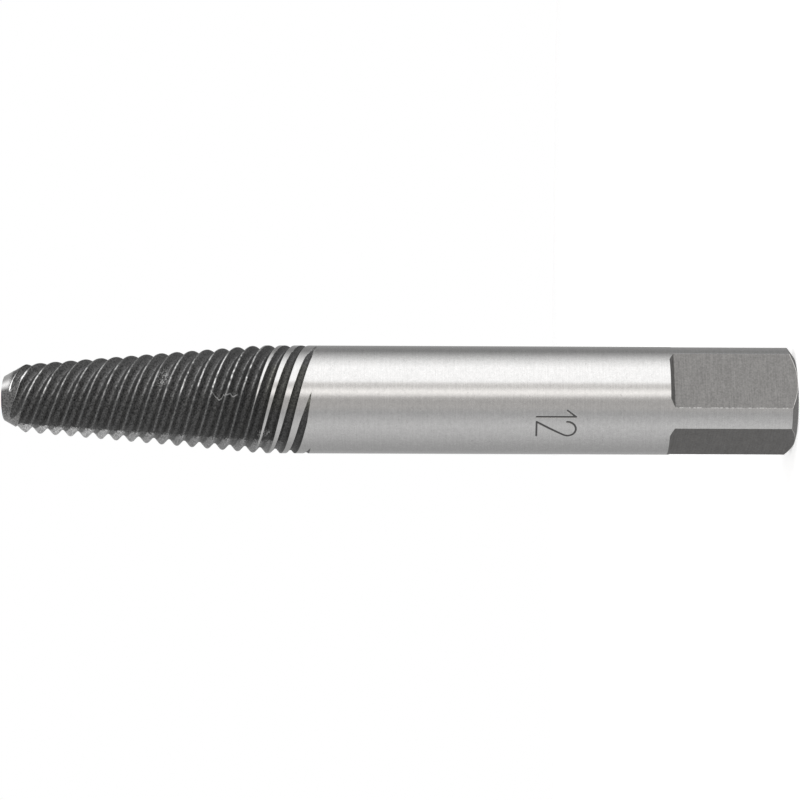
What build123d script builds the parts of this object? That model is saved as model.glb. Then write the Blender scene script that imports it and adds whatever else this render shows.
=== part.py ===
from build123d import *
from math import cos, radians, tan
import os

# A left-hand screw extractor, turned, threaded and ground from one bar of tool steel.
# It stands on the end of its square drive with the tip up. The origin is the centre of
# that end face, Z is the axis of the bar, and the flats of the square face X and Y.
# All lengths are in millimetres and all angles in degrees.

# The bar
overall_length = 87.5
shank_diameter = 12.0

# The square drive
drive_across_flats = 10.0
drive_flat_count = 4
drive_length = 14.0
drive_root_bevel = 0.5
end_bevel_width = 1.0
end_bevel_height = 0.75

# The tapered thread: several shallow grooves side by side, each one long and steep
thread_length = 28.3
thread_taper = 4.84
start_count = 6
thread_lead = 10.13
thread_phase = -3.0
groove_depth = 0.65
groove_floor_width = 0.4
groove_flank_angle = 38.5
groove_runout_length = 5.75

# The tip
tip_face_diameter = 5.0
tip_bevel_height = 2.3

# Room that a cutter has past the surface that it leaves, and the turn of one span of its path
cutter_clearance = 0.1
cutter_overrun = 1.5
span_turn = 110.0

# Worked out from the sizes above
shank_radius = shank_diameter / 2
taper_slope = tan(radians(thread_taper))
taper_start = overall_length - thread_length
tip_bevel_start = overall_length - tip_bevel_height
tip_bevel_radius = shank_radius - (tip_bevel_start - taper_start) * taper_slope
groove_start = taper_start - groove_runout_length
groove_start_radius = shank_radius - groove_depth + groove_runout_length * taper_slope
groove_height = overall_length - groove_start + cutter_overrun
groove_half_floor = groove_floor_width / 2
groove_mouth_height = groove_depth + cutter_clearance
groove_half_mouth = groove_half_floor + groove_mouth_height * tan(radians(groove_flank_angle))

# The turned bar, with its bevelled end, its straight shank, its taper and its bevelled tip
with BuildPart() as bar:
    with BuildSketch(Plane.XZ) as bar_outline:
        with BuildLine():
            Polyline(
                (0, 0),
                (shank_radius - end_bevel_width, 0),
                (shank_radius, end_bevel_height),
                (shank_radius, taper_start),
                (tip_bevel_radius, tip_bevel_start),
                (tip_face_diameter / 2, overall_length),
                (0, overall_length),
                close=True,
            )
        make_face()
    revolve(axis=Axis.Z)

# What the cutter takes off one side of the square: it leaves a flat, a short bevel at the
# root of the flat and a step square to the shank
with BuildPart() as flat_cutter:
    with BuildSketch(Plane.XZ) as flat_outline:
        with BuildLine():
            Polyline(
                (drive_across_flats / 2, -cutter_overrun),
                (drive_across_flats / 2, drive_length - drive_root_bevel),
                (drive_across_flats / 2 + drive_root_bevel, drive_length),
                (shank_radius + cutter_overrun, drive_length),
                (shank_radius + cutter_overrun, -cutter_overrun),
                close=True,
            )
        make_face()
    extrude(amount=shank_diameter, both=True)

# The floor of one groove follows a left-hand helix on a cone that lies one groove depth
# inside the tapered bar, until it nears the surface of the shank
with BuildLine() as groove_helix:
    Helix(
        pitch=thread_lead / cos(radians(thread_taper)),
        height=groove_height,
        radius=groove_start_radius,
        center=(0, 0, groove_start),
        cone_angle=-thread_taper,
        lefthand=True,
    )
helix_edge = groove_helix.edge()

# There the cutter leaves along the tangent, which ends each groove in a sharp point.
# The helix is laid as short spans, about a third of a turn each, and stays divided, so
# that each surface of the groove crosses the round of the bar only once
span_count = round(360 / span_turn * groove_height / thread_lead)
groove_exit_length = shank_radius
groove_entry = helix_edge @ 0 - (helix_edge % 0) * groove_exit_length
groove_path = Wire(
    [Edge.make_line(groove_entry, helix_edge @ 0)]
    + [
        helix_edge.trim(span / span_count, (span + 1) / span_count)
        for span in range(span_count)
    ]
)

with BuildPart() as groove_cutter:
    groove_plane = Plane(origin=groove_entry, x_dir=(1, 0, 0), z_dir=helix_edge % 0)
    with BuildSketch(groove_plane) as groove_outline:
        with BuildLine():
            Polyline(
                (0, -groove_half_floor),
                (0, groove_half_floor),
                (groove_mouth_height, groove_half_mouth),
                (groove_mouth_height, -groove_half_mouth),
                close=True,
            )
        make_face()
    sweep(path=groove_path, is_frenet=True)

# The finished extractor
with BuildPart() as extractor:
    add(bar.part)
    with PolarLocations(0, start_count, start_angle=thread_phase):
        add(groove_cutter.part, mode=Mode.SUBTRACT)
    with PolarLocations(0, drive_flat_count):
        add(flat_cutter.part, mode=Mode.SUBTRACT)
extractor.part.label = "extractor"

os.makedirs("parts", exist_ok=True)
export_step(extractor.part, "parts/extractor.step")
print("extractor", round(extractor.part.volume / 1000, 3), "cubic centimetres")
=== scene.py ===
from math import acos, atan2, ceil, cos, dist, pi, radians, sin, sqrt, tan
from types import SimpleNamespace

import bmesh
import bpy
from mathutils import Matrix, Vector


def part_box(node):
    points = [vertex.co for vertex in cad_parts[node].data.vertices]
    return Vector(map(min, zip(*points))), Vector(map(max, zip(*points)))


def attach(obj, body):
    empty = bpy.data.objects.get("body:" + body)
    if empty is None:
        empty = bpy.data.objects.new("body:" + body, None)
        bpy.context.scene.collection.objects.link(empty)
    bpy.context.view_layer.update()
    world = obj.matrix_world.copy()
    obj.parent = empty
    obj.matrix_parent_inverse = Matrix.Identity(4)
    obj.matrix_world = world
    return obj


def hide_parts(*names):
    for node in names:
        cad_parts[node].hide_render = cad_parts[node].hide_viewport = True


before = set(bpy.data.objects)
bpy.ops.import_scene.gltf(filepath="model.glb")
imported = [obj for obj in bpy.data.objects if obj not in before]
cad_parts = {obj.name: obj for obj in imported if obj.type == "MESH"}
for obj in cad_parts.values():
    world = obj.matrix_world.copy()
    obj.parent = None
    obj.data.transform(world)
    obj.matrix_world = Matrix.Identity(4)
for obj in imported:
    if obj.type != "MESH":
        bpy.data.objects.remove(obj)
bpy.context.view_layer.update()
mm = 0.001
lowCorner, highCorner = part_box("extractor")

# The camera looks at the tool level, turned so that up in the picture is at this azimuth. It
# stands opposite one height, and its lens is shifted so that another is in mid-picture
view = {
    "azimuth": -26.3,
    "height": 38.0,
    "middle": 43.6,
    "distance": 255.0,
    "lens": 103.15,
    "sensor": 36.0,
    "roll": 0.23,
    "lift": -0.008,
}
upAngle = radians(view["azimuth"])
frontAngle = upAngle - pi / 2


# Angle round the bar from the side that the camera sees, downwards in the picture
def angleFromFront(angle):
    return (frontAngle - angle + pi) % (2 * pi) - pi


# The bar and its square drive, in millimetres and degrees. The length and the thickness come from
# the frame
bar = {
    "length": (highCorner.z - lowCorner.z) / mm,
    "radius": (highCorner.x - lowCorner.x) / mm / 2,
    "columns": 120,
    "collar": 0.5,
    "upperRings": 8,
    "lowerRings": 3,
    "sharpAngle": 20,
    "flatDistance": 5.0,
    "driveLength": 14.0,
    "rootBevel": 0.5,
    "endBevelWidth": 1.0,
    "endBevelHeight": 0.75,
    "tipRadius": 2.5,
    "tipBevelHeight": 2.3,
}

# The tapered thread, in millimetres and degrees. The exit and the later ends shape the long
# points in which the grooves come out of the shank, each a little sooner or later than the next
thread = {
    "length": 28.3,
    "taper": 4.84,
    "starts": 6,
    "lead": 10.13,
    "phase": -3.0,
    "depth": 0.65,
    "flankAngle": 40.0,
    "crestRound": 0.14,
    "rootSteps": 4,
    "flankSteps": 3,
    "crestSteps": 3,
    "runoutLength": 5.75,
    "belowRunout": 1.0,
    "exitLength": 0.48,
    "exitCurve": 0.2,
    "laterEnds": (-4, 5, -2, -10, 1, 13),
}

threadPitch = thread["lead"] / thread["starts"]
taperSlope = tan(radians(thread["taper"]))
taperStart = bar["length"] - thread["length"]
grooveStart = taperStart - thread["runoutLength"]
grooveStartRadius = bar["radius"] - thread["depth"] + thread["runoutLength"] * taperSlope
shankTop = grooveStart - thread["belowRunout"]
tipBevelStart = bar["length"] - bar["tipBevelHeight"]
tipBevelRadius = bar["radius"] - (tipBevelStart - taperStart) * taperSlope
tipBevelSlope = (tipBevelRadius - bar["tipRadius"]) / bar["tipBevelHeight"]
flank = radians(thread["flankAngle"])
bothRounds = (threadPitch / 2 / tan(flank) - thread["depth"]) / (1 / sin(flank) - 1)
rootRound = bothRounds - thread["crestRound"]

# How near points are before they are merged or a thin face is closed, and how near a point is to
# a ring's height or to the bar's surface before it counts as on it, in millimetres
tolerance = {
    "merge": 0.002,
    "close": 0.001,
    "onRing": 0.001,
    "onBar": 0.0001,
}


# Height of the thread's surface over the bottom of its groove, at a distance along the bar
def grooveRise(distance):
    fromRoot = abs(distance)
    fromCrest = threadPitch / 2 - fromRoot
    if fromRoot <= rootRound * cos(flank):
        return rootRound - sqrt(rootRound**2 - fromRoot**2)
    if fromCrest <= thread["crestRound"] * cos(flank):
        crest = thread["crestRound"]
        return thread["depth"] - crest + sqrt(crest**2 - max(fromCrest, 0) ** 2)
    flankFoot = rootRound * cos(flank)
    return rootRound * (1 - sin(flank)) + (fromRoot - flankFoot) / tan(flank)


# Rows across half a groove, from its middle to the top of the crest
def halfGrooveRows():
    arc = pi / 2 - flank
    root = [
        rootRound * sin(arc * step / thread["rootSteps"])
        for step in range(thread["rootSteps"] + 1)
    ]
    crest = [
        threadPitch / 2 - thread["crestRound"] * sin(arc * step / thread["crestSteps"])
        for step in range(thread["crestSteps"], -1, -1)
    ]
    steps = thread["flankSteps"]
    between = [root[-1] + (crest[0] - root[-1]) * step / steps for step in range(1, steps)]
    return root + between + crest


# The groove nearest to a place on the bar: the height of its middle, and which of the six it is
def nearestGroove(angle, height):
    first = grooveStart - thread["lead"] * (angle - radians(thread["phase"])) / (2 * pi)
    number = round((height - first) / threadPitch)
    return first + threadPitch * number, number % thread["starts"]


# Radius of the bottom of a groove: it follows the taper, and curves out of the shank at its end
def grooveFloor(middle, start):
    onTaper = grooveStartRadius - (middle - grooveStart) * taperSlope
    end = grooveStart - thread["exitLength"] - thread["laterEnds"][start] / 360 * thread["lead"]
    return max(onTaper, bar["radius"] - thread["exitCurve"] * (middle - end) * abs(middle - end))


def threadRadius(angle, height):
    middle, start = nearestGroove(angle, height)
    offset = height - middle
    return grooveFloor(middle, start) - offset * taperSlope + grooveRise(offset)


def crestRadius(height):
    return bar["radius"] - max(height - taperStart, 0) * taperSlope


def turnedRadius(height):
    return min(bar["radius"], bar["tipRadius"] + (bar["length"] - height) * tipBevelSlope)


def angleOf(point):
    return atan2(point.y, point.x)


# One line of rows along the bar, wound into the six grooves side by side. It has a pitch to
# spare at each end, and what lies past the ends of the thread is pressed flat and closed
def windThread(bm):
    half = halfGrooveRows()
    rows = [-row for row in reversed(half[1:])] + half[:-1]
    first = nearestGroove(0, shankTop)[0]
    pitchCount = ceil((bar["length"] + thread["lead"] - first) / threadPitch) + 1
    line = [
        bm.verts.new((bar["radius"], 0, first + pitch * threadPitch + row))
        for pitch in range(-1, pitchCount)
        for row in rows
    ]
    edges = [bm.edges.new(pair) for pair in zip(line, line[1:])]
    bmesh.ops.spin(
        bm,
        geom=line + edges,
        cent=(0, 0, 0),
        axis=(0, 0, 1),
        dvec=(0, 0, -thread["lead"] / bar["columns"]),
        angle=2 * pi,
        steps=bar["columns"],
        use_merge=False,
        use_duplicate=False,
    )
    for vert in bm.verts:
        vert.co.z = min(max(vert.co.z, shankTop), bar["length"])
    bmesh.ops.remove_doubles(bm, verts=bm.verts[:], dist=tolerance["merge"])
    bmesh.ops.dissolve_degenerate(bm, edges=bm.edges[:], dist=tolerance["close"])


# Splits the surface along the line where the thread comes out through the turned bar
def cutAtBar(bm):
    over = {v: threadRadius(angleOf(v.co), v.co.z) - turnedRadius(v.co.z) for v in bm.verts}
    onLine = [v for v, height in over.items() if abs(height) < tolerance["onBar"]]
    for edge in bm.edges[:]:
        low, high = edge.verts
        nearer = min(abs(over[low]), abs(over[high]))
        if nearer < tolerance["onBar"] or over[low] * over[high] > 0:
            continue
        share = over[low] / (over[low] - over[high])
        onLine.append(bmesh.utils.edge_split(edge, low, share)[1])
    bmesh.ops.connect_verts(bm, verts=onLine)
    return set(onLine)


def setThreadRadius(bm, cutLine):
    for vert in bm.verts:
        angle = angleOf(vert.co)
        limit = turnedRadius(vert.co.z)
        radius = limit if vert in cutLine else min(threadRadius(angle, vert.co.z), limit)
        vert.co.x = radius * cos(angle)
        vert.co.y = radius * sin(angle)


bm = bmesh.new()
windThread(bm)
cutLine = cutAtBar(bm)
setThreadRadius(bm, cutLine)
print("thread", len(bm.verts), "vertices")

# The square: angles round the bar are measured from the middle of the nearest flat
flatEdgeAngle = acos(bar["flatDistance"] / bar["radius"])
bevelEdgeAngle = acos((bar["flatDistance"] + bar["rootBevel"]) / bar["radius"])
columnAngle = 2 * pi / bar["columns"]


def fromFlat(angle):
    return (angle + pi / 4) % (pi / 2) - pi / 4


# Moves the columns a little so that some of them run along the edges of the square
def squareAngle(angle):
    middle = angle - fromFlat(angle)
    offset = abs(fromFlat(angle))
    edges = (bevelEdgeAngle, flatEdgeAngle)
    columns = [(round(edge / columnAngle) * columnAngle, edge) for edge in edges]
    stops = [(0, 0)] + columns + [(pi / 4, pi / 4)]
    for (lowFrom, lowTo), (highFrom, highTo) in zip(stops, stops[1:]):
        if offset <= highFrom:
            moved = lowTo + (offset - lowFrom) * (highTo - lowTo) / (highFrom - lowFrom)
            break
    return middle + (moved if fromFlat(angle) >= 0 else -moved)


def squareRadius(angle):
    return min(bar["radius"], bar["flatDistance"] / cos(fromFlat(angle)))


# The rings below the thread: each gives the radius and the height at an angle
def shoulderTop(angle):
    return bar["radius"], bar["driveLength"]


def bevelTop(angle):
    across = min(bar["flatDistance"] + bar["rootBevel"], bar["radius"] * cos(fromFlat(angle)))
    across = max(across, bar["flatDistance"])
    height = bar["driveLength"] - bar["rootBevel"] + across - bar["flatDistance"]
    return min(bar["radius"], across / cos(fromFlat(angle))), height


def flatTop(angle):
    return squareRadius(angle), bar["driveLength"] - bar["rootBevel"]


def flatMiddle(angle):
    return squareRadius(angle), bar["driveLength"] / 2


def flatEnd(angle):
    rise = (squareRadius(angle) - bar["flatDistance"]) / bar["endBevelWidth"]
    return squareRadius(angle), rise * bar["endBevelHeight"]


def endFace(angle):
    return bar["radius"] - bar["endBevelWidth"], 0


def shankRing(height):
    return lambda angle: (bar["radius"], height)


# Draws a ring down to the next one, and may move its columns round the bar
def extendDown(bm, ring, shape, movedAngle=lambda angle: angle):
    made = bmesh.ops.extrude_edge_only(bm, edges=ring)["geom"]
    for vert in [item for item in made if isinstance(item, bmesh.types.BMVert)]:
        angle = movedAngle(angleOf(vert.co))
        radius, height = shape(angle)
        vert.co = (radius * cos(angle), radius * sin(angle), height)
    return [item for item in made if isinstance(item, bmesh.types.BMEdge)]


# The thickness of the bar in millimetres, cut into the shank in plain strokes. It is read round
# the bar, and the tops of its figures point to the square. The bow of the two is an arc whose
# angles are in degrees
sizeMark = {
    "firstTurn": 10.5,
    "foot": 28.6,
    "figureHeight": 4.3,
    "flagWidth": 0.72,
    "flagFoot": 0.78,
    "twoLeft": 1.3,
    "twoWidth": 1.8,
    "bowStart": 185,
    "bowStep": 20,
    "bowPoints": 12,
    "strokeWidth": 0.25,
    "depth": 0.07,
    "margin": 0.5,
    "ringStep": 0.32,
    "cuts": 7,
}


# The strokes as points to the right and upwards from the foot of the first figure
def figureStrokes():
    top = sizeMark["figureHeight"]
    half = sizeMark["twoWidth"] / 2
    left = sizeMark["twoLeft"]
    stem = sizeMark["flagWidth"]
    one = [(0, top * sizeMark["flagFoot"]), (stem, top), (stem, 0)]
    turns = [sizeMark["bowStart"] - sizeMark["bowStep"] * step for step in range(sizeMark["bowPoints"])]
    bow = [radians(turn) for turn in turns]
    two = [(left + half + half * cos(angle), top - half + half * sin(angle)) for angle in bow]
    return [one, two + [(left, 0), (left + 2 * half, 0)]]


# Share of the full depth that the strokes have at a place on the shank
def strokeShare(strokes, right, up):
    nearest = sizeMark["strokeWidth"]
    for stroke in strokes:
        for (x1, y1), (x2, y2) in zip(stroke, stroke[1:]):
            length = dist((x1, y1), (x2, y2))
            along = ((right - x1) * (x2 - x1) + (up - y1) * (y2 - y1)) / length
            along = min(max(along, 0), length) / length
            place = (x1 + along * (x2 - x1), y1 + along * (y2 - y1))
            nearest = min(nearest, dist(place, (right, up)))
    return max(0, 1 - (2 * nearest / sizeMark["strokeWidth"]) ** 2)


def markPlace(point):
    turn = angleFromFront(angleOf(point)) - radians(sizeMark["firstTurn"])
    return turn * bar["radius"], sizeMark["foot"] - point.z


def cutSizeMark(bm, layer):
    strokes = figureStrokes()
    margin = sizeMark["margin"]
    width = sizeMark["twoLeft"] + sizeMark["twoWidth"]
    patch = []
    for face in bm.faces:
        right, up = markPlace(face.calc_center_median())
        if -margin < right < width + margin and -margin < up < sizeMark["figureHeight"] + margin:
            patch.append(face)
    edges = list({edge for face in patch for edge in face.edges})
    made = bmesh.ops.subdivide_edges(bm, edges=edges, cuts=sizeMark["cuts"], use_grid_fill=True)
    for vert in {item for item in made["geom"] if isinstance(item, bmesh.types.BMVert)}:
        share = strokeShare(strokes, *markPlace(vert.co))
        radius = bar["radius"] - share * sizeMark["depth"]
        angle = angleOf(vert.co)
        vert.co.x = radius * cos(angle)
        vert.co.y = radius * sin(angle)
        vert[layer] = share
    print("size mark", len(patch), "faces divided")


# Heights between two others, both left out
def heightsBetween(first, last, steps):
    return [first + (last - first) * step / steps for step in range(1, steps)]


def isAtShankTop(edge):
    offsets = [abs(vert.co.z - shankTop) for vert in edge.verts]
    return edge.is_boundary and max(offsets) < tolerance["onRing"]


# The shank: a short collar turns the columns of the thread to those of the square, and the rings
# are close together from two margins above the size mark to two margins below it
collarFoot = shankTop - bar["collar"]
markTop = sizeMark["foot"] + 2 * sizeMark["margin"]
markSteps = round((sizeMark["figureHeight"] + 4 * sizeMark["margin"]) / sizeMark["ringStep"])
markRings = [markTop - sizeMark["ringStep"] * step for step in range(markSteps + 1)]
upperRings = heightsBetween(collarFoot, markTop, bar["upperRings"])
lowerRings = heightsBetween(markRings[-1], bar["driveLength"], bar["lowerRings"])
shapes = [shankRing(height) for height in upperRings + markRings + lowerRings]
ring = [edge for edge in bm.edges if isAtShankTop(edge)]
ring = extendDown(bm, ring, shankRing(collarFoot), squareAngle)
for shape in shapes + [shoulderTop, bevelTop, flatTop, flatMiddle, flatEnd, endFace]:
    ring = extendDown(bm, ring, shape)
bmesh.ops.remove_doubles(bm, verts=bm.verts[:], dist=tolerance["merge"])
bmesh.ops.holes_fill(bm, edges=bm.edges[:], sides=0)
bmesh.ops.recalc_face_normals(bm, faces=bm.faces[:])
depthLayer = bm.verts.layers.float.new("grooveDepth")
acrossLayer = bm.verts.layers.float.new("grooveAcross")
markLayer = bm.verts.layers.float.new("markDepth")
cutSizeMark(bm, markLayer)
openEdges = [edge for edge in bm.edges if not edge.is_manifold]
print("body", len(bm.verts), "vertices", len(openEdges), "open edges")

for face in bm.faces:
    face.smooth = True
for edge in bm.edges:
    edge.smooth = edge.calc_face_angle(0) < radians(bar["sharpAngle"])

# What the material reads of the thread: the depth under the crests, and the place across a groove,
# which is 0 in the root and on the crests, and 1 or -1 halfway up the flanks
for vert in bm.verts:
    if vert.co.z > shankTop:
        radius = sqrt(vert.co.x**2 + vert.co.y**2)
        vert[depthLayer] = min(crestRadius(vert.co.z), turnedRadius(vert.co.z)) - radius
        offset = vert.co.z - nearestGroove(angleOf(vert.co), vert.co.z)[0]
        vert[acrossLayer] = sin(2 * pi * offset / threadPitch)
bmesh.ops.scale(bm, verts=bm.verts[:], vec=(mm, mm, mm))
mesh = bpy.data.meshes.new("extractorBody")
bm.to_mesh(mesh)
bm.free()
body = bpy.data.objects.new("extractorBody", mesh)
bpy.context.scene.collection.objects.link(body)
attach(body, "root")
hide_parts("extractor")


# A value in a material: plain arithmetic on it adds Math nodes
class Value:
    def __init__(self, graph, socket):
        self.graph = graph
        self.socket = socket

    def __add__(self, other):
        return self.graph.math("ADD", self, other)

    def __radd__(self, other):
        return self.graph.math("ADD", other, self)

    def __sub__(self, other):
        return self.graph.math("SUBTRACT", self, other)

    def __rsub__(self, other):
        return self.graph.math("SUBTRACT", other, self)

    def __mul__(self, other):
        return self.graph.math("MULTIPLY", self, other)

    def __rmul__(self, other):
        return self.graph.math("MULTIPLY", other, self)

    def __truediv__(self, other):
        return self.graph.math("DIVIDE", self, other)


class Graph:
    def __init__(self, tree):
        self.tree = tree
        tree.nodes.clear()

    # settings are set first; inputs are numbers, colours or other values
    def add(self, kind, settings=None, inputs=None, output=0):
        node = self.tree.nodes.new(kind)
        for name, setting in (settings or {}).items():
            if name == "stops":
                ramp = node.color_ramp.elements
                while len(ramp) < len(setting):
                    ramp.new(1)
                for element, (place, colour) in zip(ramp, setting):
                    element.position = place
                    element.color = colour
            else:
                setattr(node, name, setting)
        for name, given in (inputs or {}).items():
            if isinstance(given, Value):
                self.tree.links.new(given.socket, node.inputs[name])
            else:
                node.inputs[name].default_value = given
        return Value(self, node.outputs[output]) if len(node.outputs) else node

    def math(self, operation, first, second=0.0):
        return self.add("ShaderNodeMath", {"operation": operation}, {0: first, 1: second})

    # 0 below the low value and 1 above the high one
    def rise(self, value, low, high):
        settings = {"interpolation_type": "SMOOTHSTEP"}
        return self.add("ShaderNodeMapRange", settings, {0: value, 1: low, 2: high})

    # The same, for two values given as distances past a place
    def past(self, value, place, ends):
        low, high = ends
        return self.rise(value, place + low, place + high)

    # 1 from the low value to the high one, with soft edges
    def band(self, value, low, high, edge):
        started = self.rise(value, low - edge, low + edge)
        return started * (1 - self.rise(value, high - edge, high + edge))

    def between(self, first, second, share):
        return first + (second - first) * share

    def noise(self, place, scale, detail):
        inputs = {"Vector": place, "Scale": scale, "Detail": detail}
        return self.add("ShaderNodeTexNoise", {}, inputs)

    def stretch(self, place, factors):
        return self.add("ShaderNodeVectorMath", {"operation": "MULTIPLY"}, {0: place, 1: factors})

    # How far a place lies along a direction
    def along(self, place, direction):
        inputs = {0: place, 1: direction}
        return self.add("ShaderNodeVectorMath", {"operation": "DOT_PRODUCT"}, inputs, output="Value")

    # A number that the mesh holds at each of its points
    def layer(self, name):
        return self.add("ShaderNodeAttribute", {"attribute_name": name}, output="Fac")


def grey(level):
    return (level, level, level, 1)


# The steel is ground bright on the shank and the lands, milled grey on the square, and covered
# with dark hardening scale in the grooves. In all of it levels are linear greys, lengths are in
# millimetres, and angles are in degrees round the bar from the camera's side, downwards in the
# picture. A pair says where something starts to show and where it shows in full, and three
# numbers say where it starts, where it ends and how soft both are
def steelPlace(graph):
    point = graph.add("ShaderNodeTexCoord", output="Object")
    point = graph.add("ShaderNodeVectorMath", {"operation": "SCALE"}, {0: point, "Scale": 1 / mm})
    x, y, z = [graph.add("ShaderNodeSeparateXYZ", {}, {0: point}, output=axis) for axis in "XYZ"]
    front = x * cos(frontAngle) + y * sin(frontAngle)
    below = x * sin(frontAngle) - y * cos(frontAngle)
    return SimpleNamespace(
        point=point,
        x=x,
        y=y,
        z=z,
        below=below,
        side=graph.math("ARCTAN2", below, front) * (180 / pi),
        radius=graph.math("SQRT", x * x + y * y),
        depth=graph.layer("grooveDepth"),
        across=graph.layer("grooveAcross"),
        mark=graph.layer("markDepth"),
    )


# Noises, each with its scale and its detail: fine rings from the grinding wheel and the mill, the
# grain of the scale, broad stains, patches, flecks, and the lathe's rings on the two end faces
textures = {
    "rings": (1.0, 3),
    "ringStretch": (0.35, 0.35, 7),
    "grain": (5.5, 2),
    "crust": (0.32, 0.68),
    "stains": (0.9, 2),
    "patches": (2.4, 2),
    "flecks": (1.0, 1),
    "fleckStretch": (2.2, 2.2, 4),
    "fleckShows": (0.72, 0.78),
    "lathe": (4.5, 3),
    "latheEnds": (-0.03, -0.01),
}


def steelTextures(graph, at):
    grain = graph.noise(at.point, *textures["grain"])
    stains = graph.noise(at.point, *textures["stains"])
    patches = graph.noise(at.point, *textures["patches"])
    flecks = graph.noise(graph.stretch(at.point, textures["fleckStretch"]), *textures["flecks"])
    fromMiddle = graph.math("ABSOLUTE", at.z - bar["length"] / 2)
    onEnds = graph.past(fromMiddle, bar["length"] / 2, textures["latheEnds"])
    return SimpleNamespace(
        rings=graph.noise(graph.stretch(at.point, textures["ringStretch"]), *textures["rings"]),
        grain=grain,
        crust=graph.rise(grain, *textures["crust"]) - 0.5,
        stains=stains,
        patches=patches,
        breaks=(stains + patches) * 0.5,
        flecks=graph.rise(flecks, *textures["fleckShows"]),
        lathe=(graph.noise(at.radius, *textures["lathe"]) - 0.5) * onEnds,
    )


# Where each finish lies: the milled grey stops unevenly at the edges of the flats, a painted
# highlight that is left out on one side, and is taken off in places along the end, a painted highlight
# there too
areas = {
    "threadStart": (0, 0.05),
    "grooveDepth": (0.0005, 0.006),
    "landEnd": 59.4,
    "landFade": (-0.6, 0.6),
    "tipStart": (-0.15, 0.1),
    "driveEnd": (-0.01, 0.01),
    "flatEdge": (-0.006, -0.002),
    # painted highlight along the edges of the flats, left out in the band of angles given after it
    "edgeNoise": (1.6, 2),
    "edgeShows": (0.45, 0.6),
    "paintedEdgeHighlight": 0.022,
    "edgeHighlightLeftOut": (-80, -45, 5),
    # painted highlight along the end of the flats
    "endSide": (-0.02, -0.005),
    "endHeight": (0.03, 0.08),
    "endShows": (0.3, 0.45),
    "nearShank": (0, 8),
    # the side of the bar, upwards in the picture, where the crest and root lines are painted highlights
    "paintedHighlightSide": (-57, -4, 10),
    "paintedHighlightTwist": 10,
}


def millingAreas(graph, at, texture):
    onDrive = 1 - graph.past(at.z, bar["driveLength"], areas["driveEnd"])
    # painted highlight: broken lines of ground steel along the edges of the flats, except on the upper
    # edge of the upper flat
    paintedEdgeHighlight = graph.rise(graph.noise(at.z, *areas["edgeNoise"]), *areas["edgeShows"])
    paintedEdgeHighlight = paintedEdgeHighlight * areas["paintedEdgeHighlight"] * (1 - graph.band(at.side, *areas["edgeHighlightLeftOut"]))
    onFlat = onDrive * (1 - graph.past(at.radius + paintedEdgeHighlight, bar["radius"], areas["flatEdge"]))

    flatSide = graph.math("MAXIMUM", graph.math("ABSOLUTE", at.x), graph.math("ABSOLUTE", at.y))
    endSlope = bar["endBevelHeight"] / bar["endBevelWidth"]
    overEnd = at.z - (at.radius - bar["flatDistance"]) * endSlope
    # painted highlight: ground steel in places along the end of the flats
    paintedEndHighlight = onDrive * graph.past(flatSide, bar["flatDistance"], areas["endSide"])
    paintedEndHighlight = paintedEndHighlight * (1 - graph.rise(overEnd, *areas["endHeight"]))
    return onFlat, paintedEndHighlight * graph.rise(texture.stains, *areas["endShows"])


def steelAreas(graph, at, texture):
    inThread = graph.past(at.z, shankTop, areas["threadStart"])
    inGroove = graph.rise(at.depth, *areas["grooveDepth"])
    pastLands = graph.past(at.z, areas["landEnd"], areas["landFade"])
    onTip = graph.past(at.z, tipBevelStart, areas["tipStart"]) * (1 - inGroove)
    onFlat, paintedEndHighlight = millingAreas(graph, at, texture)
    nearShank = 1 - graph.past(at.z, taperStart, areas["nearShank"])
    return SimpleNamespace(
        tip=onTip,
        scaled=inThread * graph.math("MAXIMUM", inGroove, pastLands) * (1 - onTip),
        flat=onFlat,
        paintedEndHighlight=paintedEndHighlight,
        nearShank=nearShank,
        # where the crest and root lines are painted highlights
        paintedHighlightSide=graph.band(at.side + areas["paintedHighlightTwist"] * nearShank, *areas["paintedHighlightSide"]),
    )


# Wear and painted light on the thread: thin bright lines on the crests and in the roots are painted
# highlights, the pale lower crests are a painted reflection, and a wandering scratch and scuffs are
# wear, each with its height, turn, length and width
threadWearAndPaintedLight = {
    # thin lines on the crests and in the roots, painted highlights on the upper side
    "crestDepth": (0.005, 0.07),
    "crestBreaks": (0.4, 0.58),
    "crestDimming": 0.4,
    "dimFrom": 9,
    "dimTo": -3,
    "dimFade": 2,
    "rootLine": -0.12,
    "rootWidth": (0.1, 0.4),
    "rootDepth": (0.35, 0.45),
    "rootBreaks": (0.38, 0.55),
    # a painted reflection of a bright surface below, on the lower crests, kept off the deepest roots
    "rubbedSide": (0.735, 0.785),  # shares of the crest's radius, downwards
    "rubbedGrain": 0.06,
    "rubbedStart": (3, 7),
    "spared": 0.8,
    "sparedDepth": (0.47, 0.6),
    "pathNoise": (0.8, 3),
    "pathWander": 45,
    "pathTurn": -5,
    "scratchWidth": (0.3, 1.1),
    "scratch": (61.2, 64.1, 0.2),
    "scuffs": [(69.4, -30, 1.0, 15), (58.4, 42, 0.8, 7)],
    "scuffEdge": (0.3, 1.2),
    "scuffGrain": (0.5, 0.62),
}


# Thin lines on the crests: painted highlights on the upper side, and smoother crests everywhere
def crestLines(graph, at, texture):
    low, high = taperStart + threadWearAndPaintedLight["dimFrom"], tipBevelStart + threadWearAndPaintedLight["dimTo"]
    dimming = threadWearAndPaintedLight["crestDimming"] * graph.band(at.z, low, high, threadWearAndPaintedLight["dimFade"])
    line = 1 - graph.rise(at.depth, *threadWearAndPaintedLight["crestDepth"])
    return line * graph.rise(texture.breaks, *threadWearAndPaintedLight["crestBreaks"]) * (1 - dimming)


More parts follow.
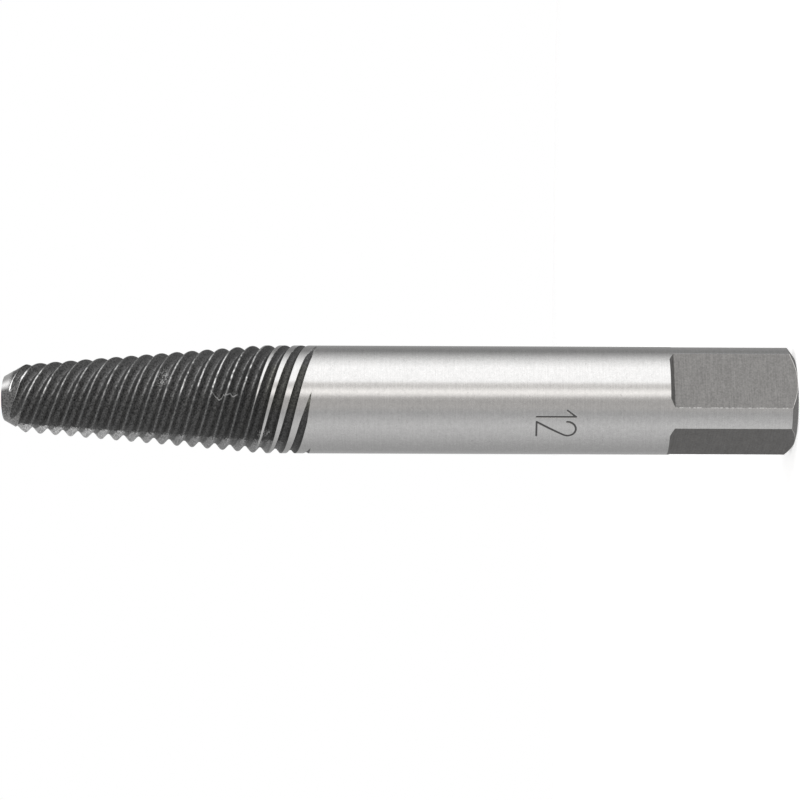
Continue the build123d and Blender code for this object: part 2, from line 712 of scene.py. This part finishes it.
# Thin lines in the roots, painted highlights on the upper side
def rootLines(graph, at, texture):
    fromLine = graph.math("ABSOLUTE", at.across - threadWearAndPaintedLight["rootLine"])
    line = (1 - graph.rise(fromLine, *threadWearAndPaintedLight["rootWidth"])) * graph.rise(at.depth, *threadWearAndPaintedLight["rootDepth"])
    return line * graph.rise(texture.breaks, *threadWearAndPaintedLight["rootBreaks"])


# Painted reflection of a bright surface below the bar, on the lower side of the thread, with the roots
# left dark
def rubbedCrests(graph, at, texture):
    crestHere = bar["radius"] - graph.math("MAXIMUM", at.z - taperStart, 0) * taperSlope
    downwards = at.below / crestHere + threadWearAndPaintedLight["rubbedGrain"] * texture.crust
    rubbed = graph.rise(downwards, *threadWearAndPaintedLight["rubbedSide"])
    rubbed = rubbed * graph.past(at.z, shankTop, threadWearAndPaintedLight["rubbedStart"])
    return rubbed * (1 - threadWearAndPaintedLight["spared"] * graph.rise(at.depth, *threadWearAndPaintedLight["sparedDepth"]))


def scratches(graph, at, texture):
    path = graph.noise(graph.stretch(at.point, (0, 0, 1)), *threadWearAndPaintedLight["pathNoise"])
    path = (path - 0.5) * threadWearAndPaintedLight["pathWander"] + threadWearAndPaintedLight["pathTurn"]
    scratch = 1 - graph.rise(graph.math("ABSOLUTE", at.side - path), *threadWearAndPaintedLight["scratchWidth"])
    scratch = scratch * graph.band(at.z, *threadWearAndPaintedLight["scratch"])
    for height, turn, length, width in threadWearAndPaintedLight["scuffs"]:
        along = (at.z - height) * (1 / length)
        aroundBar = (at.side - turn) * (1 / width)
        scuff = 1 - graph.rise(along * along + aroundBar * aroundBar, *threadWearAndPaintedLight["scuffEdge"])
        scuff = scuff * graph.rise(texture.grain, *threadWearAndPaintedLight["scuffGrain"])
        scratch = graph.math("MAXIMUM", scratch, scuff)
    return scratch


# The ground steel, the milled steel and the scored size mark
ground = {
    "level": 0.42,
    "rings": 0.2,
    "grain": 0.22,
    "patches": 0.2,
    "flecks": 0.14,
    "warmth": 0.008,
    "roughness": 0.17,
    "roughRings": 0.1,
    "ringRelief": 0.0015,
    "latheRelief": 0.02,
}
milled = {
    "level": 0.155,
    "rings": 0.5,
    "grain": 0.7,
    "stains": 0.2,
    "warmth": 0.022,
    "roughness": 0.5,
    "ringRelief": 0.003,
    "grainRelief": 0.004,
}
scored = {
    "level": 0.08,
    "depth": (0.08, 0.5),
}


def groundLevel(texture):
    uneven = ground["rings"] * (texture.rings - 0.5) + ground["grain"] * (texture.grain - 0.5)
    uneven = uneven + ground["patches"] * (texture.patches - 0.5) - ground["flecks"] * texture.flecks
    return ground["level"] * (1 + uneven)


def milledLevel(texture):
    uneven = milled["rings"] * (texture.rings - 0.5) + milled["grain"] * (texture.grain - 0.5)
    return milled["level"] * (1 + uneven + milled["stains"] * (texture.stains - 0.5))


# The scale in the thread is darker by the shank, darker on the flanks that face the tip as painted
# shade, paler on the crests, and a little olive where the grooves end on one side
scale = {
    "level": 0.052,
    "crust": 1.4,
    "patches": 1.0,
    "darkerByShank": 0.35,
    # painted shade on the flanks that face the tip
    "paintedFlankShade": 0.32,
    "flank": (-0.95, -0.35),
    "crest": 0.105,
    "crestShare": 0.7,
    "crestDepth": (0.01, 0.06),
    # levels of the painted highlights in the roots and on the crests
    "paintedRootHighlight": 0.18,
    "paintedCrestHighlight": 0.48,
    "paintedHighlightCrust": 0.5,
    # levels of the painted reflection on the lower crests
    "rubbedByShank": 0.3,
    "rubbed": 0.52,
    "rubbedHeight": (66, 80),
    "rubbedCrust": 0.9,
    "scratch": 0.3,
    "metallic": 0.35,
    "roughness": 0.5,
    "roughCrust": 0.1,
    "crestPolish": 0.4,
    "grainRelief": 0.028,
    "olive": 0.12,
    "oliveSide": (-40, 12, 6),
    "oliveEnd": (-2, 0),
}


def scaleLevel(graph, at, texture, area):
    level = 1 + scale["crust"] * texture.crust + scale["patches"] * (texture.patches - 0.5)
    level = scale["level"] * level * (1 - scale["darkerByShank"] * area.nearShank)
    # painted shade on the flanks that face the tip
    level = level * (1 - scale["paintedFlankShade"] * (1 - graph.rise(at.across, *scale["flank"])))
    onCrest = scale["crestShare"] * (1 - graph.rise(at.depth, *scale["crestDepth"]))
    return graph.between(level, scale["crest"] * (1 + texture.crust), onCrest)


# The bevel of the tip is paler near its end on one side and paler on its lower side, a painted
# reflection, and the rim of a groove that crosses it is bright on the upper side, a painted highlight
tip = {
    "level": 0.115,
    # a painted reflection on the lower side of the tip's bevel
    "rubbed": 0.25,
    "rubbedSide": (36, 100, 14),
    "paleMetal": 0.7,
    "bareSide": (-82, -23, 8),
    "bareHeight": (-1.0, -0.4),
    "heightGrain": 0.6,
    "bareRadius": (-0.1, 0.15),
    "radiusGrain": 0.3,
    "rim": 0.8,
    # a painted highlight on the rims of the grooves on the upper side of the tip
    "rimHeight": (-0.7, -0.3),
    "rimDepth": (0.006, 0.09, 0.01),
    "rimSide": (-54, 2, 9),
    "rimAcross": (-0.4, -0.15),
}


def tipLevel(graph, at, texture, area):
    height = at.z + texture.grain * tip["heightGrain"]
    radius = at.radius + texture.grain * tip["radiusGrain"]
    paleMetal = graph.past(height, bar["length"], tip["bareHeight"])
    paleMetal = paleMetal * graph.past(radius, bar["tipRadius"], tip["bareRadius"])
    paleMetal = area.tip * paleMetal * graph.band(at.side, *tip["bareSide"])
    # painted reflection on the lower side of the bevel
    level = graph.between(tip["level"], tip["rubbed"], graph.band(at.side, *tip["rubbedSide"]))
    return graph.between(level * (1 + texture.crust), tip["paleMetal"], paleMetal)


# Painted highlight on the rims of the grooves where they cross the tip's bevel
def tipRims(graph, at):
    rim = graph.past(at.z, tipBevelStart, tip["rimHeight"]) * graph.band(at.depth, *tip["rimDepth"])
    return rim * graph.band(at.side, *tip["rimSide"]) * graph.rise(at.across, *tip["rimAcross"])


# Painted highlights, the painted reflection and wear on top of the scale, the strongest last
def wearAndPaintedLightLevel(graph, at, texture, wearAndPaintedLightMasks, level):
    # painted highlights in the roots and on the crests
    level = graph.between(level, scale["paintedRootHighlight"] * (1 + texture.crust), wearAndPaintedLightMasks.root)
    bright = scale["paintedCrestHighlight"] * (1 + scale["paintedHighlightCrust"] * texture.crust)
    level = graph.between(level, bright, wearAndPaintedLightMasks.crest)
    # the painted reflection on the lower crests, paler towards the tip
    towardsTip = graph.rise(at.z, *scale["rubbedHeight"])
    bright = graph.between(scale["rubbedByShank"], scale["rubbed"], towardsTip)
    level = graph.between(level, bright * (1 + scale["rubbedCrust"] * texture.crust), wearAndPaintedLightMasks.rubbed)
    # the painted highlight on the tip's groove rims
    level = graph.between(level, tip["rim"], wearAndPaintedLightMasks.rim)
    return graph.between(level, scale["scratch"], wearAndPaintedLightMasks.scratch)


def steelColour(graph, at, area, level):
    warmth = graph.between(ground["warmth"], milled["warmth"], area.flat) * (1 - area.scaled)
    byLands = 1 - graph.past(at.z, taperStart, scale["oliveEnd"])
    olive = scale["olive"] * area.scaled * graph.band(at.side, *scale["oliveSide"]) * byLands
    channels = {"Red": level * (1 + warmth), "Green": level, "Blue": level * (1 - warmth - olive)}
    return graph.add("ShaderNodeCombineColor", {}, channels)


def steelRoughness(graph, texture, area, crestLine):
    roughness = ground["roughness"] + ground["roughRings"] * (texture.rings - 0.5)
    roughness = graph.between(roughness, milled["roughness"], area.flat)
    ofScale = scale["roughness"] + scale["roughCrust"] * texture.crust
    return graph.between(roughness, ofScale, area.scaled * (1 - scale["crestPolish"] * crestLine))


def steelNormal(graph, texture, area):
    ofFlat = texture.grain * milled["grainRelief"] + texture.rings * milled["ringRelief"]
    height = texture.rings * ground["ringRelief"] + texture.lathe * ground["latheRelief"]
    height = height + area.flat * ofFlat + area.scaled * texture.grain * scale["grainRelief"]
    return graph.add("ShaderNodeBump", {}, {"Strength": 1.0, "Distance": mm, "Height": height})


def makeToolSteel():
    material = bpy.data.materials.new("groundToolSteel")
    material.use_nodes = True
    graph = Graph(material.node_tree)
    at = steelPlace(graph)
    texture = steelTextures(graph, at)
    area = steelAreas(graph, at, texture)
    crestLine = crestLines(graph, at, texture)
    # masks of the painted highlights, the painted reflection and the real scratch and scuffs
    wearAndPaintedLightMasks = SimpleNamespace(
        crest=crestLine * area.paintedHighlightSide,
        root=rootLines(graph, at, texture) * area.paintedHighlightSide,
        rubbed=rubbedCrests(graph, at, texture),
        scratch=scratches(graph, at, texture),
        rim=tipRims(graph, at),
    )

    inThread = wearAndPaintedLightLevel(graph, at, texture, wearAndPaintedLightMasks, scaleLevel(graph, at, texture, area))
    # the painted highlight along the end takes the milled grey off the flats
    onFlat = area.flat * (1 - area.paintedEndHighlight)
    level = graph.between(groundLevel(texture), milledLevel(texture), onFlat)
    level = graph.between(level, inThread, area.scaled)
    level = graph.between(level, tipLevel(graph, at, texture, area), area.tip)
    level = graph.between(level, scored["level"], graph.rise(at.mark, *scored["depth"]))
    # the painted highlights and the painted reflection show as fully metallic
    paleMetal = graph.math("MAXIMUM", graph.math("MAXIMUM", wearAndPaintedLightMasks.crest, wearAndPaintedLightMasks.rubbed), wearAndPaintedLightMasks.rim)
    inputs = {
        "Base Color": steelColour(graph, at, area, level * (1 + texture.lathe)),
        "Metallic": 1 - area.scaled * (1 - paleMetal) * (1 - scale["metallic"]),
        "Roughness": steelRoughness(graph, texture, area, crestLine),
        "Normal": steelNormal(graph, texture, area),
    }
    shader = graph.add("ShaderNodeBsdfPrincipled", {}, inputs)
    graph.add("ShaderNodeOutputMaterial", {}, {"Surface": shader})
    return material


mesh.materials.append(makeToolSteel())
print("tool steel", len(mesh.materials[0].node_tree.nodes), "nodes")

# The studio: a pale floor, a white surround and a light tent round the tool. The tent's panels
# have the brightness given at each angle round the tool from the camera, upwards in the picture
studio = {
    "floorGrey": 0.8,
    "floorGlow": 0.475,
    "surround": 0.7,
    "tentRadius": 0.6,
    "tentSides": 96,
    "tentLow": -0.5,
    "tentHigh": 0.9,
    "tentBrightest": 2.5,
    "warmFrom": -25,
    "warmTo": 36,
    "warmth": 0.022,
    "panels": [
        (-180, 0.52), (-135, 0.62), (-110, 0.74), (-75, 1.0), (-56, 1.1), (-40, 0.95), (-27, 0.77),
        (-14, 0.88), (0, 0.8), (5, 0.96), (10, 1.6), (16, 2.2), (21, 1.9), (27, 1.25), (35, 1.35),
        (39, 2.2), (73, 2.25), (88, 1.78), (100, 1.28), (115, 0.72), (126, 0.44), (180, 0.46),
    ],
}

pictureUp = Vector((cos(upAngle), sin(upAngle), 0))
pictureRight = Vector((0, 0, -1))
towardsCamera = pictureRight.cross(pictureUp)
target = Vector((0, 0, view["height"] * mm)) + pictureUp * view["lift"] * mm


def orient(right, up, back, place):
    return Matrix.Translation(place) @ Matrix((right, up, back)).transposed().to_4x4()


cameraData = bpy.data.cameras.new("camera")
cameraData.lens = view["lens"]
cameraData.sensor_width = view["sensor"]
shiftOnSensor = (view["height"] - view["middle"]) / view["distance"] * view["lens"]
cameraData.shift_x = shiftOnSensor / view["sensor"]
camera = bpy.data.objects.new("camera", cameraData)
bpy.context.scene.collection.objects.link(camera)
cameraPlace = target + towardsCamera * view["distance"] * mm
roll = Matrix.Rotation(radians(view["roll"]), 4, "Z")
camera.matrix_world = orient(pictureRight, pictureUp, towardsCamera, cameraPlace) @ roll
bpy.context.scene.camera = camera


def addStagePiece(name, bm):
    piece = bpy.data.objects.new(name, bpy.data.meshes.new(name))
    bm.to_mesh(piece.data)
    bm.free()
    bpy.context.scene.collection.objects.link(piece)
    material = bpy.data.materials.new(name)
    material.use_nodes = True
    piece.data.materials.append(material)
    return piece, Graph(material.node_tree)


bm = bmesh.new()
bmesh.ops.create_circle(bm, cap_ends=True, segments=studio["tentSides"], radius=studio["tentRadius"])
floor, graph = addStagePiece("paleFloor", bm)
floor.visible_glossy = False
lit = graph.add("ShaderNodeBsdfDiffuse", {}, {"Color": grey(studio["floorGrey"])})
isSeen = graph.add("ShaderNodeLightPath", output="Is Camera Ray")
glow = graph.add("ShaderNodeEmission", {}, {"Strength": isSeen * studio["floorGlow"]})
both = graph.add("ShaderNodeAddShader", {}, {0: lit, 1: glow})
graph.add("ShaderNodeOutputMaterial", {}, {"Surface": both})

bm = bmesh.new()
tentHeight = studio["tentHigh"] - studio["tentLow"]
tentMiddle = Matrix.Translation((0, 0, (studio["tentHigh"] + studio["tentLow"]) / 2))
size = {"radius1": studio["tentRadius"], "radius2": studio["tentRadius"], "depth": tentHeight}
bmesh.ops.create_cone(bm, segments=studio["tentSides"], matrix=tentMiddle, **size)
tent, graph = addStagePiece("lightTent", bm)
tent.visible_camera = False
place = graph.add("ShaderNodeTexCoord", output="Object")
upwards = graph.along(place, pictureUp)
outwards = graph.along(place, towardsCamera)
around = graph.math("ARCTAN2", upwards, outwards) / (2 * pi) + 0.5


# The panels in front of the tool are a little warmer than the others
def panelColour(angle, level):
    share = level / studio["tentBrightest"]
    warmth = studio["warmth"] if studio["warmFrom"] < angle < studio["warmTo"] else 0
    return (share * (1 + warmth), share, share * (1 - warmth), 1)


stops = [(angle / 360 + 0.5, panelColour(angle, level)) for angle, level in studio["panels"]]
brightness = graph.add("ShaderNodeValToRGB", {"stops": stops}, {0: around})
panels = graph.add("ShaderNodeEmission", {}, {"Color": brightness, "Strength": studio["tentBrightest"]})
graph.add("ShaderNodeOutputMaterial", {}, {"Surface": panels})

world = bpy.data.worlds.new("studio")
world.use_nodes = True
bpy.context.scene.world = world
graph = Graph(world.node_tree)
isCamera = graph.add("ShaderNodeLightPath", output="Is Camera Ray")
isGlossy = graph.add("ShaderNodeLightPath", output="Is Glossy Ray")
isThrough = graph.add("ShaderNodeLightPath", output="Is Transmission Ray")
seen = graph.math("MAXIMUM", graph.math("MAXIMUM", isCamera, isGlossy), isThrough)
strength = studio["surround"] + (1 - studio["surround"]) * seen
light = graph.add("ShaderNodeBackground", {}, {"Color": grey(1), "Strength": strength})
graph.add("ShaderNodeOutputWorld", {}, {"Surface": light})
print("studio", len(studio["panels"]), "stops in the tent's light")

bpy.context.scene.view_settings.view_transform = "Standard"
